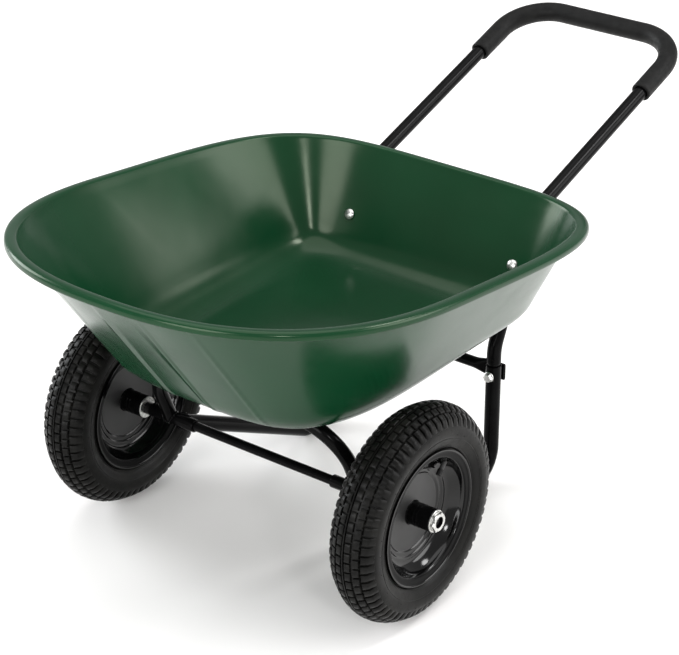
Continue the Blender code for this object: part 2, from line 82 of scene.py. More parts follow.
# Frame tubes, as the CAD has them
GAP = 0.0003
HANDLE_RADIUS = 0.0115
HANDLE_BORE = 0.0102
PLUG_RADIUS = 0.0102
PLUG_BORE = 0.0088
PLUG_LENGTH = 0.042
LEG_RADIUS = 0.0122
LEG_BORE = 0.0109
ARCH_RADIUS = 0.011
ARCH_BORE = 0.0097
CROSSBAR_BEND = 0.078
KNEE_BEND = 0.060
LEG_BEND = 0.045
ARCH_BEND = 0.080
HANDLE_HALF = 0.157
CROSSBAR_Y = 0.9274
HANDLE_TOP_Z = 0.5733
HANDLE_RISE = 0.3269
KNEE_Y = 0.466
LEG_Y = 0.379
LEG_TOP_Z = 0.2025
LEG_BEND_Z = 0.2328
BACK_SLOPE = 2.174
SKID_FRONT_Y = 0.3038
GRIP_RADIUS = 0.0166
GRIP_BORE = 0.0123
GRIP_END_Y = 0.789
# Room left under the grip's skin for its waves
GRIP_WAVE_ROOM = 0.0004
ARCH_HALF = 0.180
ARCH_LEAN = math.radians(22.4)
CROWN_Z = FLOOR_Z - SHEET - GAP - ARCH_RADIUS
SLEEVE_RADIUS = 0.010
# Distance from the axle's line at which a tube ends before its mouth is shaped to the sleeve
TUBE_END = 0.006
AXLE_RADIUS = 0.0072
AXLE_BORE = 0.0076
BRACE_Z = 0.186
BRACE_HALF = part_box("rear_cross_brace")[1][0]
BRACE_FLAT_DEPTH = 0.0027
BRACE_FLAT_HEIGHT = 0.0140
BRACE_RADIUS = 0.009
BRACE_WALL = 0.0014
BRACE_Y = LEG_Y + LEG_RADIUS + GAP + BRACE_FLAT_DEPTH
WALL_BOLT_Z = 0.352
ARCH_BOLT_X = 0.088
# Fasteners: M8
BOLT_RADIUS = 0.0039
BOLT_TAIL = 0.0105
NUT_RADIUS = 0.0075
NUT_HEIGHT = 0.0065
AXLE_THREAD_RADIUS = 0.0070
AXLE_THREAD_LENGTH = 0.0155

# Wheels
HUB_RADIUS = 0.0172
HUB_BORE = 0.0135
BEARING_SEAT = 0.0163
BEARING_SEAT_X = 0.0295
RIM_SHEET = 0.0016
# Parts of a rim with their own finish, between two distances from the axle's line. The band round the axle
# nut's bore is painted black: painted shade in the recess round the axle's end.
DISC_BAND = (0.0, 0.058)
BEAD_BAND = (0.0905, 0.1008)
NUT_BORE_SHADE_BAND = (0.0, 0.0090)

# Tread
TREAD_PITCHES = 65
TREAD_GAP = 0.0032
GROOVE_DEPTH = 0.0044
# The crown falls by this much at this distance from the middle plane
CROWN_DROP = 0.0075
CROWN_HALF = 0.0225
# Distance from the middle plane at which the shoulder lugs begin
LUG_FROM = 0.0250
# Tread surface beyond the crown: distance from the middle plane, radius, groove depth, gap between lugs
SHOULDER = (
    (0.0250, 0.1559, 0.0044, 0.0036), (0.0290, 0.1532, 0.0044, 0.0038), (0.0318, 0.1508, 0.0042, 0.0040),
    (0.0332, 0.1493, 0.0040, 0.0040), (0.0342, 0.1472, 0.0034, 0.0036), (0.0354, 0.1444, 0.0026, 0.0028),
    (0.0366, 0.1412, 0.0014, 0.0018), (0.0374, 0.1380, 0.0004, 0.0008))

SIDES = ((1, "left"), (-1, "right"))


def place(x, y, z):
    """A point given with Y measured from the axle, in the row frame."""
    return Vector((x, y + AXLE_Y, z))


# Materials


class Nodes:
    """A small builder for one material's node tree."""

    def __init__(self, name, colour, roughness, metallic=0.0, **sockets):
        self.material = bpy.data.materials.new(name)
        self.material.use_nodes = True
        self.tree = self.material.node_tree
        self.shader = self.tree.nodes["Principled BSDF"]
        self.shader.inputs["Base Color"].default_value = (*colour, 1.0)
        self.shader.inputs["Roughness"].default_value = roughness
        self.shader.inputs["Metallic"].default_value = metallic
        for socket, value in sockets.items():
            self.shader.inputs[socket.replace("_", " ")].default_value = value
        self.coordinates = self.tree.nodes.new("ShaderNodeTexCoord").outputs["Object"]
        self.last_bump = None

    def link(self, source, target):
        self.tree.links.new(source, target)

    def noise(self, scale, detail=3.0, roughness=0.55, stretch=(1, 1, 1)):
        mapping = self.tree.nodes.new("ShaderNodeMapping")
        mapping.inputs["Scale"].default_value = stretch
        node = self.tree.nodes.new("ShaderNodeTexNoise")
        node.inputs["Scale"].default_value = scale
        node.inputs["Detail"].default_value = detail
        node.inputs["Roughness"].default_value = roughness
        self.link(self.coordinates, mapping.inputs["Vector"])
        self.link(mapping.outputs["Vector"], node.inputs["Vector"])
        return node.outputs["Fac"]

    def cells(self, scale):
        node = self.tree.nodes.new("ShaderNodeTexVoronoi")
        node.inputs["Scale"].default_value = scale
        self.link(self.coordinates, node.inputs["Vector"])
        return node.outputs["Distance"]

    def spread(self, value, low, high, to_low, to_high):
        """Map a value from one range to another, clamped."""
        node = self.tree.nodes.new("ShaderNodeMapRange")
        sockets = ("From Min", "From Max", "To Min", "To Max")
        for socket, number in zip(sockets, (low, high, to_low, to_high)):
            node.inputs[socket].default_value = number
        self.link(value, node.inputs["Value"])
        return node.outputs["Result"]

    def product(self, one, other):
        node = self.tree.nodes.new("ShaderNodeMath")
        node.operation = "MULTIPLY"
        self.link(one, node.inputs[0])
        self.link(other, node.inputs[1])
        return node.outputs["Value"]

    def colour_between(self, factor, dark, light):
        node = self.tree.nodes.new("ShaderNodeMix")
        node.data_type = "RGBA"
        node.inputs["A"].default_value = (*dark, 1.0)
        node.inputs["B"].default_value = (*light, 1.0)
        self.link(factor, node.inputs["Factor"])
        return node.outputs["Result"]

    def colour_over(self, factor, below, light):
        """Lay one more colour over a colour output."""
        node = self.tree.nodes.new("ShaderNodeMix")
        node.data_type = "RGBA"
        node.inputs["B"].default_value = (*light, 1.0)
        self.link(below, node.inputs["A"])
        self.link(factor, node.inputs["Factor"])
        return node.outputs["Result"]

    def set_colour(self, value):
        self.link(value, self.shader.inputs["Base Color"])

    def set_roughness(self, value):
        self.link(value, self.shader.inputs["Roughness"])

    def bump(self, height, distance, strength=1.0):
        node = self.tree.nodes.new("ShaderNodeBump")
        node.inputs["Distance"].default_value = distance
        node.inputs["Strength"].default_value = strength
        self.link(height, node.inputs["Height"])
        if self.last_bump:
            self.link(self.last_bump, node.inputs["Normal"])
        self.last_bump = node.outputs["Normal"]
        self.link(self.last_bump, self.shader.inputs["Normal"])


def green_enamel():
    """Baked gloss enamel: slight shade changes, orange peel, soft handling haze."""
    n = Nodes("green_enamel", (0.0024, 0.032, 0.012), 0.2, Specular_IOR_Level=0.27,
              Specular_Tint=(0.90, 1.0, 0.78, 1.0))
    shade = n.spread(n.noise(5.0, 4.0), 0.3, 0.7, 0.0, 1.0)
    n.set_colour(n.colour_between(shade, (0.0016, 0.0280, 0.0095), (0.0024, 0.0350, 0.0125)))
    n.set_roughness(n.spread(n.noise(9.0, 6.0, 0.65), 0.3, 0.75, 0.16, 0.27))
    n.bump(n.noise(420.0, 2.0), 0.00003, 0.10)
    n.bump(n.noise(11.0, 2.0), 0.0012, 0.20)
    return n.material


def black_enamel(name="black_enamel", roughness=(0.11, 0.20), specular=0.055):
    n = Nodes(name, (0.005, 0.005, 0.0055), 0.22, Specular_IOR_Level=specular)
    shade = n.spread(n.noise(30.0, 5.0), 0.35, 0.7, 0.0, 1.0)
    n.set_colour(n.colour_between(shade, (0.0012, 0.0012, 0.0013), (0.0030, 0.0030, 0.0031)))
    n.set_roughness(n.spread(n.noise(16.0, 6.0, 0.6), 0.3, 0.75, *roughness))
    n.bump(n.noise(900.0, 2.0), 0.00005, 0.4)
    return n.material


def tyre_rubber():
    """Moulded rubber: fine grain, grey bloom in patches and a little dust."""
    n = Nodes("tyre_rubber", (0.012, 0.012, 0.012), 0.5, Specular_IOR_Level=0.10)
    bloom = n.spread(n.noise(24.0, 6.0, 0.65), 0.42, 0.72, 0.0, 1.0)
    base = n.colour_between(bloom, (0.0032, 0.0032, 0.0030), (0.0095, 0.0093, 0.0083))
    dust = n.spread(n.noise(220.0, 4.0, 0.7), 0.60, 0.80, 0.0, 0.35)
    n.set_colour(n.colour_over(n.product(dust, bloom), base, (0.055, 0.052, 0.046)))
    n.set_roughness(n.spread(n.noise(60.0, 5.0, 0.6), 0.3, 0.75, 0.28, 0.46))
    n.bump(n.noise(1500.0, 3.0), 0.00012, 0.5)
    n.bump(n.noise(70.0, 3.0), 0.0008, 0.45)
    return n.material


def grip_foam():
    """Closed-cell foam: small pores over a soft uneven skin."""
    n = Nodes("grip_foam", (0.010, 0.010, 0.010), 0.75, Specular_IOR_Level=0.12)
    shade = n.spread(n.noise(60.0, 5.0), 0.3, 0.7, 0.0, 1.0)
    n.set_colour(n.colour_between(shade, (0.0030, 0.0030, 0.0030), (0.0075, 0.0075, 0.0072)))
    n.set_roughness(n.spread(n.noise(140.0, 4.0), 0.3, 0.7, 0.36, 0.58))
    n.bump(n.cells(1300.0), 0.00025, 0.55)
    n.bump(n.noise(180.0, 4.0), 0.0004, 0.35)
    return n.material


def zinc_plate():
    n = Nodes("zinc_plate", (0.66, 0.66, 0.64), 0.3, 1.0)
    shade = n.spread(n.noise(260.0, 4.0), 0.35, 0.7, 0.0, 1.0)
    n.set_colour(n.colour_between(shade, (0.50, 0.50, 0.49), (0.76, 0.76, 0.73)))
    n.set_roughness(n.spread(n.noise(500.0, 4.0), 0.3, 0.7, 0.20, 0.42))
    n.bump(n.noise(1800.0, 2.0), 0.00004, 0.4)
    return n.material


def bearing_steel():
    """Ground steel with fine rings of grain about its own X axis."""
    dark, light, grain = (0.30, 0.30, 0.31), (0.46, 0.46, 0.47), (1, 12, 12)
    n = Nodes("bearing_steel", light, 0.35, 1.0)
    shade = n.spread(n.noise(120.0, 4.0, 0.6, grain), 0.3, 0.7, 0.0, 1.0)
    n.set_colour(n.colour_between(shade, dark, light))
    n.set_roughness(n.spread(n.noise(300.0, 3.0), 0.3, 0.7, 0.25, 0.45))
    n.bump(n.noise(900.0, 2.0, 0.5, grain), 0.00004, 0.3)
    return n.material


def butyl_rubber():
    n = Nodes("butyl_rubber", (0.02, 0.02, 0.021), 0.55)
    shade = n.spread(n.noise(80.0, 4.0), 0.3, 0.7, 0.0, 1.0)
    n.set_colour(n.colour_between(shade, (0.014, 0.014, 0.015), (0.028, 0.028, 0.028)))
    n.set_roughness(n.spread(n.noise(150.0), 0.3, 0.7, 0.45, 0.65))
    n.bump(n.noise(700.0), 0.0001, 0.4)
    return n.material


def studio_floor():
    n = Nodes("studio_floor", (0.87, 0.86, 0.85), 0.75, Specular_IOR_Level=0.2)
    shade = n.noise(1.5, 2.0)
    n.set_colour(n.colour_between(shade, (0.94, 0.925, 0.915), (0.96, 0.945, 0.935)))
    return n.material


MATERIALS = {
    "green": green_enamel(),
    "black": black_enamel(),
    "rim": black_enamel("rim_enamel", (0.06, 0.14), 0.34),
    "disc": black_enamel("disc_enamel", (0.46, 0.56), 0.8),
    "tyre": tyre_rubber(),
    "foam": grip_foam(),
    "zinc": zinc_plate(),
    "steel": bearing_steel(),
    "butyl": butyl_rubber(),
    "cap": black_enamel("cap_plastic", (0.35, 0.50), 0.3),
}


# Mesh tools


def finish_piece(name, bm, look, body, replaces=(), smooth_angle=35.0):
    """Turn a bmesh into a shaded piece that rides on a body and stands for CAD nodes."""
    bmesh.ops.recalc_face_normals(bm, faces=bm.faces)
    mesh = bpy.data.meshes.new(name)
    bm.to_mesh(mesh)
    bm.free()
    mesh.shade_smooth()
    mesh.set_sharp_from_angle(angle=math.radians(smooth_angle))
    mesh.materials.append(MATERIALS[look])
    piece = bpy.data.objects.new(name, mesh)
    bpy.context.scene.collection.objects.link(piece)
    if replaces:
        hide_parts(*replaces)
    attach(piece, body)
    return piece


def paint_ring(piece, band, look):
    """One more material on the faces of a piece between two distances from the axle's line."""
    low, high = band
    piece.data.materials.append(MATERIALS[look])
    line = place(0, 0, TYRE_RADIUS)
    for face in piece.data.polygons:
        if low <= math.hypot(face.center.y - line.y, face.center.z - line.z) < high:
            face.material_index = len(piece.data.materials) - 1


def join_rings(bm, rings, closed=False, capped=True):
    """Quads between rings of vertices; closed joins the last ring to the first."""
    pairs = list(zip(rings, rings[1:]))
    if closed:
        pairs.append((rings[-1], rings[0]))
    elif capped:
        bm.faces.new(rings[0])
        bm.faces.new(rings[-1])
    for low, high in pairs:
        for i, vert in enumerate(low):
            j = (i + 1) % len(low)
            bm.faces.new((vert, low[j], high[j], high[i]))


def hexagon(angle):
    """Radius of a hexagon of corner radius 1 at an angle."""
    wedge = angle % (math.pi / 3) - math.pi / 6
    return math.cos(math.pi / 6) / math.cos(wedge)


def add_turned(bm, rings, origin, direction, segments=48, closed=False):
    """Add a turned shape of (height, radius) rings; a third value blends to a hexagon, 0 to 1."""
    turn = Vector(direction).to_track_quat("Z", "Y").to_matrix()
    loops = []
    for height, radius, *shape in rings:
        six = shape[0] if shape else 0.0
        loop = []
        for i in range(segments):
            angle = TAU * i / segments
            r = radius * (1 - six + six * hexagon(angle))
            local = Vector((r * math.cos(angle), r * math.sin(angle), height))
            loop.append(bm.verts.new(Vector(origin) + turn @ local))
        loops.append(loop)
    join_rings(bm, loops, closed)


def bent_path(corners, radius, steps=14, run_step=0.05):
    """Points along straight runs whose corners are rounded with arcs of one radius."""
    points = [corners[0]]
    for before, corner, after in zip(corners, corners[1:], corners[2:]):
        back = (before - corner).normalized()
        ahead = (after - corner).normalized()
        half_turn = (math.pi - back.angle(ahead)) / 2
        tangent = radius * math.tan(half_turn)
        centre = corner + (back + ahead).normalized() * radius / math.cos(half_turn)
        start = corner + back * tangent - centre
        axis = start.cross(corner + ahead * tangent - centre).normalized()
        add_run(points, centre + start, run_step)
        for i in range(1, steps + 1):
            points.append(centre + Matrix.Rotation(2 * half_turn * i / steps, 3, axis) @ start)
    add_run(points, corners[-1], run_step)
    return points


def add_run(points, end, run_step):
    """Extend a list of points to an end in even steps."""
    start = points[-1]
    count = max(1, round((end - start).length / run_step))
    for i in range(1, count + 1):
        points.append(start.lerp(end, i / count))


def tube_rings(bm, points, radii, segments):
    """Rings of vertices square to a path, carried along it without twist."""
    loops = []
    side = Vector((0, 0, 1)).cross(points[1] - points[0])
    if side.length < 1e-6:
        side = Vector((1, 0, 0))
    for i, (point, radius) in enumerate(zip(points, radii)):
        tangent = (points[min(i + 1, len(points) - 1)] - points[max(i - 1, 0)]).normalized()
        side = (side - tangent * side.dot(tangent)).normalized()
        up = tangent.cross(side)
        loops.append([bm.verts.new(point + (side * math.cos(TAU * k / segments)
                                            + up * math.sin(TAU * k / segments)) * radius)
                      for k in range(segments)])
    return loops


def add_tube(bm, points, outer, bore, segments=32):
    """A hollow tube with open ends; outer and bore are one radius, or one for each point."""
    outer = outer if isinstance(outer, list) else [outer] * len(points)
    bore = bore if isinstance(bore, list) else [bore] * len(points)
    outside = tube_rings(bm, points, outer, segments)
    inside = tube_rings(bm, points, bore, segments)
    join_rings(bm, outside + inside[::-1], closed=True)


# Tray


def half_outline(half, widest, front, rear, power_front, power_rear):
    """Half of a tray level, nose to tail: two superellipse quarters that meet where it is widest."""
    points = []
    straight = 0.74
    for i in range(NOSE_COLUMNS + SIDE_COLUMNS + 1):
        if i < NOSE_COLUMNS:
            turn = math.asin((straight * i / NOSE_COLUMNS) ** (power_front / 2))
        else:
            start = math.asin(straight ** (power_front / 2))
            turn = start + (math.pi / 2 - start) * (i - NOSE_COLUMNS) / SIDE_COLUMNS
        x = half * math.sin(turn) ** (2 / power_front)
        y = widest - (widest - front) * max(math.cos(turn), 0.0) ** (2 / power_front)
        points.append((x, y))
    for i in range(REAR_COLUMNS - 1, -1, -1):
        turn = math.pi / 2 * (i / REAR_COLUMNS) ** 1.15
        x = half * math.sin(turn) ** (2 / power_rear)
        y = widest + (rear - widest) * math.cos(turn) ** (2 / power_rear)
        points.append((x, y))
    return points


def rim_level(inset, drop):
    """A ring parallel to the sloping rim, inset from its outer edge and dropped below it."""
    outline = half_outline(RIM_HALF - inset, RIM_WIDEST_Y, NOSE_Y + inset, REAR_RIM_Y - inset, 2.41, 4.41)
    return [Vector((x, y, RIM_Z + RIM_SLOPE * y - drop)) for x, y in outline]


def floor_level(inset):
    outline = half_outline(
        FLOOR_HALF - inset, FLOOR_WIDEST_Y, FLOOR_FRONT_Y + inset, FLOOR_REAR_Y - inset, 4.0, 10.0)
    return [Vector((x, y, FLOOR_Z)) for x, y in outline]


def crease_push(point, rise):
    """Outward press of the nose creases: sharp folds that widen and fade towards the rim."""
    if point.y > -0.05 or not 0.06 < rise < 0.97:
        return Vector()
    fade = min(1.0, (rise - 0.06) / 0.12) * min(1.0, (0.97 - rise) / 0.40)
    push = 0.0
    for x, depth, low_width, high_width in CREASES:
        away = abs(point.x) - x
        width = (low_width + (high_width - low_width) * rise ** 2) * (0.6 if away > 0 else 1.3)
        push += depth * max(0.0, 1 - abs(away) / width) ** 1.2
    return Vector((0, -0.79, -0.61)) * push * fade


def tray_levels():
    """Half rings of the tray's inner face, from the flat of its floor to the lip of its rim."""
    corner = floor_level(0.0)
    top = rim_level(FLANGE_WIDTH, 0.007)
    levels = [floor_level(FLOOR_INSET + 0.06), floor_level(FLOOR_INSET)]
    for k in range(1, 10):
        step = k / 10
        ring = []
        for flat, bend, high in zip(levels[1], corner, top):
            foot = bend.lerp(high, WALL_FOOT)
            ring.append(flat.lerp(bend, step).lerp(bend.lerp(foot, step), step))
        levels.append(ring)
    for k in range(17):
        rise = WALL_FOOT + (1 - WALL_FOOT) * k / 16
        levels.append([low.lerp(high, rise) for low, high in zip(corner, top)])
    creased = []
    for number, level in enumerate(levels):
        height = max(0.0, (number - 4) / (len(levels) - 5))
        creased.append([point + crease_push(point, height) for point in level])
    return creased + rim_levels()


def rim_levels():
    """The rim's section: up over a soft inner edge, across the flange, round and down the lip."""
    section = [(0.0182, 0.0046), (0.0174, 0.0026), (0.0162, 0.0012), (0.0145, 0.0004), (0.0120, 0.0),
               (0.0090, 0.0), (0.0062, 0.0003), (0.0040, 0.0011), (0.0022, 0.0023), (0.0009, 0.0040),
               (0.0002, 0.0060), (0.0, 0.0085), (0.0, 0.0108), (0.0005, 0.0124), (0.0016, 0.0131),
               (0.0027, 0.0125)]
    return [rim_level(inset, drop) for inset, drop in section]


def make_tray():
    bm = bmesh.new()
    rings = []
    for level in tray_levels():
        mirrored = [Vector((-p.x, p.y, p.z)) for p in level[-2:0:-1]]
        rings.append([bm.verts.new(place(*p)) for p in level + mirrored])
    join_rings(bm, rings, capped=False)
    floor = bm.faces.new(rings[0])
    bmesh.ops.recalc_face_normals(bm, faces=bm.faces)
    floor.normal_update()
    turned_down = floor.normal.z < 0
    tray = finish_piece("tray_shell", bm, "green", "frame", ["tray"], 60.0)
    if turned_down:
        tray.data.flip_normals()
    shell = tray.modifiers.new("sheet", "SOLIDIFY")
    shell.thickness = SHEET
    shell.offset = -1.0
    shell.use_even_offset = True


# Frame tubes


def handle_corners():
    knee_z = HANDLE_TOP_Z + (KNEE_Y - CROSSBAR_Y) * HANDLE_RISE
    left = [(LEG_Y, LEG_TOP_Z - PLUG_LENGTH), (LEG_Y, LEG_BEND_Z), (KNEE_Y, knee_z),
            (CROSSBAR_Y, HANDLE_TOP_Z)]
    corners = [place(HANDLE_HALF, y, z) for y, z in left]
    return corners + [place(-HANDLE_HALF, y, z) for y, z in left[::-1]]


def make_handle():
    corners = handle_corners()
    crossbar = bent_path(corners[2:6], CROSSBAR_BEND, 18)
    left = bent_path(corners[:4], KNEE_BEND, 10)
    left_side = [p for p in left if p.y < (KNEE_Y + CROSSBAR_Y) / 2 + AXLE_Y]
    middle = [p for p in crossbar if p.y > (KNEE_Y + CROSSBAR_Y) / 2 + AXLE_Y + 0.02]
    plug_top = place(HANDLE_HALF, LEG_Y, LEG_TOP_Z + 0.0008)
    rise = Vector((0, 0, 1))
    swage = [plug_top, plug_top + rise * 0.0015, plug_top + rise * 0.0035, plug_top + rise * 0.005]
    above = [p for p in left_side[1:] if p.z > swage[-1].z + 0.004 or p.y > LEG_Y + AXLE_Y + 0.001]
    side = [left_side[0]] + swage + above
    right = [Vector((-p.x, p.y, p.z)) for p in side[::-1]]
    points = side + middle + right
    outer = [PLUG_RADIUS, PLUG_RADIUS, 0.0106, 0.0113]
    bore = [PLUG_BORE, PLUG_BORE, 0.0092, 0.0099]
    plain = len(points) - 8
    bm = bmesh.new()
    add_tube(bm, points, outer + [HANDLE_RADIUS] * plain + outer[::-1],
             bore + [HANDLE_BORE] * plain + bore[::-1])
    finish_piece("handle_bar", bm, "black", "frame", ["handle_tube"])


def make_grip():
    """One foam sleeve over the crossbar and both bends, with soft ends and a slightly wavy skin."""
    corners = handle_corners()
    end_z = HANDLE_TOP_Z + (GRIP_END_Y - CROSSBAR_Y) * HANDLE_RISE
    ends = [place(side * HANDLE_HALF, GRIP_END_Y, end_z) for side in (1, -1)]
    points = bent_path([ends[0], corners[3], corners[4], ends[1]], CROSSBAR_BEND, 40, 0.004)
    bm = bmesh.new()
    segments = 48
    rings = tube_rings(bm, points, [GRIP_RADIUS - GRIP_WAVE_ROOM] * len(points), segments)
    draw = random.Random(3)
    waves = [(draw.uniform(0.2, 0.9), draw.randint(1, 4), draw.uniform(0, TAU)) for _ in range(6)]
    for i, ring in enumerate(rings):
        centre = points[i]
        for k, vert in enumerate(ring):
            wave = sum(math.sin(i * rate + lobes * TAU * k / segments + phase)
                       for rate, lobes, phase in waves)
            vert.co = centre + (vert.co - centre) * (1 + wave * 0.0010)
    first = (points[0] - points[1]).normalized()
    last = (points[-1] - points[-2]).normalized()
    caps = []
    bore_share = GRIP_BORE / GRIP_RADIUS
    turn_in = ((0.955, 0.0009), (0.90, 0.0012), (bore_share + 0.03, 0.0009), (bore_share, -0.001))
    for centre, outward, ring in ((points[0], first, rings[0]), (points[-1], last, rings[-1])):
        caps.append([[bm.verts.new(centre + (v.co - centre) * shrink + outward * reach) for v in ring]
                     for shrink, reach in turn_in])
    inside = tube_rings(bm, points[1:-1], [GRIP_BORE] * (len(points) - 2), segments)
    # The rounded ends close the gap between the outer and inner skins.
    loop = caps[0][::-1] + rings + caps[1] + inside[::-1]
    join_rings(bm, loop, closed=True)
    finish_piece("grip_sleeve", bm, "foam", "frame", ["foam_grip"], 50.0)


def make_legs():
    rise = Vector((0, SKID_FRONT_Y, LEG_RADIUS - TYRE_RADIUS)).normalized()
    for side, word in SIDES:
        x = side * HANDLE_HALF
        end = place(x, 0, TYRE_RADIUS) + rise * TUBE_END
        points = bent_path([
            place(x, LEG_Y, LEG_TOP_Z), place(x, LEG_Y, LEG_RADIUS),
            place(x, SKID_FRONT_Y, LEG_RADIUS), end], LEG_BEND)
        bm = bmesh.new()
        outer = [LEG_RADIUS] * len(points)
        outer[0] = LEG_RADIUS - 0.0005
        points.insert(1, points[0] - Vector((0, 0, 0.0006)))
        outer.insert(1, LEG_RADIUS)
        add_tube(bm, points, outer, LEG_BORE)
        cope_end(bm, place(x, 0, TYRE_RADIUS), rise)
        finish_piece("leg_tube_" + word, bm, "black", "frame", ["leg_" + word])
        make_weld("leg_weld_" + word, place(x, 0, TYRE_RADIUS), rise, LEG_RADIUS)


def cope_end(bm, centre, direction):
    """Shape the end of a tube to the round of the axle sleeve it is welded to."""
    width = Vector(direction).cross(Vector((1, 0, 0))).normalized()
    for vert in bm.verts:
        away = vert.co - centre
        height = away.dot(direction)
        if abs(away.x) < LEG_RADIUS * 1.01 and abs(height - TUBE_END) < 1e-5:
            mouth = math.sqrt(max((SLEEVE_RADIUS - 0.0004) ** 2 - away.dot(width) ** 2, 0.0))
            vert.co += Vector(direction) * (mouth - height)


def make_weld(name, centre, direction, tube_radius):
    """A rippled bead along the line where a tube meets the axle sleeve."""
    direction = Vector(direction).normalized()
    across = Vector((1, 0, 0))
    width = direction.cross(across).normalized()
    steps = 72
    bead = 10
    rings = []
    bm = bmesh.new()
    for i in range(steps):
        angle = TAU * i / steps
        spread = tube_radius * math.sin(angle)
        reach = math.sqrt(max(SLEEVE_RADIUS ** 2 - spread ** 2, 0.0)) + 0.0006
        radial = across * math.cos(angle) + width * math.sin(angle)
        point = centre + direction * reach + radial * (tube_radius + 0.0001)
        radius = 0.0019 + 0.0003 * math.sin(angle * 24)
        rings.append([bm.verts.new(point + (radial * math.cos(TAU * k / bead)
                                            + direction * math.sin(TAU * k / bead)) * radius)
                      for k in range(bead)])
    join_rings(bm, rings, closed=True)
    finish_piece(name, bm, "black", "frame")


def arch_point(x, height):
    return place(x, -height * math.sin(ARCH_LEAN), TYRE_RADIUS + height * math.cos(ARCH_LEAN))


def make_arch():
    crown = (CROWN_Z - TYRE_RADIUS) / math.cos(ARCH_LEAN)
    corners = [arch_point(ARCH_HALF, TUBE_END), arch_point(ARCH_HALF, crown),
               arch_point(-ARCH_HALF, crown), arch_point(-ARCH_HALF, TUBE_END)]
    bm = bmesh.new()
    add_tube(bm, bent_path(corners, ARCH_BEND, 20), ARCH_RADIUS, ARCH_BORE)
    up = (arch_point(0, 1) - arch_point(0, 0)).normalized()
    for side in (1, -1):
        cope_end(bm, arch_point(side * ARCH_HALF, 0), up)
    finish_piece("arch_tube", bm, "black", "frame", ["front_arch"])
    for side, word in SIDES:
        make_weld("arch_weld_" + word, arch_point(side * ARCH_HALF, 0), up, ARCH_RADIUS)


def brace_ring(bm, x, depth, height, power, segments=32):
    """A superellipse ring square to X, used to flatten a tube end."""
    loop = []
    for i in range(segments):
        angle = TAU * i / segments
        c, s = math.cos(angle), math.sin(angle)
        y = depth * math.copysign(abs(c) ** (2 / power), c)
        z = height * math.copysign(abs(s) ** (2 / power), s)
        loop.append(bm.verts.new(place(x, BRACE_Y + y, BRACE_Z + z)))
    return loop


def make_brace():
    """Cross tube with pressed-flat ends that swell smoothly into the round."""
    flat_from, round_from = 0.140, 0.112
    sections = [(BRACE_HALF, BRACE_FLAT_DEPTH - 0.0002, BRACE_FLAT_HEIGHT - 0.0004),
                (BRACE_HALF - 0.0006, BRACE_FLAT_DEPTH, BRACE_FLAT_HEIGHT),
                (flat_from, BRACE_FLAT_DEPTH, BRACE_FLAT_HEIGHT)]
    for k in range(1, 9):
        ease = (1 - math.cos(math.pi * k / 8)) / 2
        x = flat_from + (round_from - flat_from) * k / 8
        depth = BRACE_FLAT_DEPTH + (BRACE_RADIUS - BRACE_FLAT_DEPTH) * ease
        sections.append((x, depth, BRACE_FLAT_HEIGHT + (BRACE_RADIUS - BRACE_FLAT_HEIGHT) * ease))
    sections += [(-x, depth, height) for x, depth, height in sections[::-1]]
    bm = bmesh.new()
    powers = [2.0 + 2.5 * max(0.0, (height - BRACE_RADIUS) / 0.005) for _, _, height in sections]
    outside = [brace_ring(bm, x, d, h, p) for (x, d, h), p in zip(sections, powers)]
    inside = [brace_ring(bm, x, d - BRACE_WALL, h - BRACE_WALL, p)
              for (x, d, h), p in zip(sections, powers)]
    join_rings(bm, outside + inside[::-1], closed=True)
    finish_piece("brace_tube", bm, "black", "frame", ["rear_cross_brace"])


# Fasteners


def add_thread(bm, origin, direction, start, length, radius, pitch=0.00125):
    """A threaded end: a turned core with a ridge for each pitch."""
    rings = [(start, radius * 0.8)]
    turns = max(1, int(length / pitch))
    for i in range(turns):
        low = start + i * pitch
        rings += [(low + pitch * 0.15, radius * 0.90), (low + pitch * 0.5, radius),
                  (low + pitch * 0.85, radius * 0.90)]
    rings.append((start + turns * pitch + 0.0004, radius * 0.78))
    add_turned(bm, rings, origin, direction, 24)


def add_hex(bm, origin, direction, low, high, corner, bore):
    """A hexagon with both faces chamfered round, with a bore."""
    edge = (high - low) * 0.14
    add_turned(bm, [
        (low, bore), (low, corner * 0.86, 0.0), (low + edge * 0.3, corner * 0.90, 0.3),
        (low + edge, corner * 0.985, 0.92), (low + edge * 1.6, corner, 1.0),
        (high - edge * 1.6, corner, 1.0), (high - edge, corner * 0.985, 0.92),
        (high - edge * 0.3, corner * 0.90, 0.3), (high, corner * 0.86, 0.0), (high, bore),
    ], origin, direction, 72, closed=True)


def make_hex_bolt(name, node, location, direction):
    """Flanged hexagon head with a raised rim mark and a plain shank into the tube."""
    bm = bmesh.new()
    add_turned(bm, [
        (-0.0071, 0.0001), (-0.0071, 0.0050), (-0.0072, 0.0056), (-0.0069, 0.0064, 0.35),
        (-0.0063, 0.0072, 0.9), (-0.0058, NUT_RADIUS, 1.0), (-0.0024, NUT_RADIUS, 1.0),
        (-0.0019, 0.0078, 0.2), (-0.0012, 0.0084), (-0.0004, 0.0085), (0.0, 0.0083), (0.0, 0.0040),
        (0.020, BOLT_RADIUS), (0.0205, 0.0001),
    ], location, direction, 72)
    finish_piece(name, bm, "zinc", "frame", [node], 30.0)


def make_domed_bolt(name, node, location, direction):
    """Coach bolt: a low dome with a thin edge."""
    bm = bmesh.new()
    dome = [(-0.0042 * math.cos(a), 0.0091 * math.sin(a)) for a in (0.02, 0.25, 0.5, 0.75, 1.0, 1.25, 1.45)]
    shank = [(-0.0003, 0.0092), (0.0, 0.0090), (0.0, 0.0040), (0.012, BOLT_RADIUS), (0.0124, 0.0001)]
    add_turned(bm, dome + shank, location, direction, 48)
    finish_piece(name, bm, "zinc", "frame", [node], 40.0)


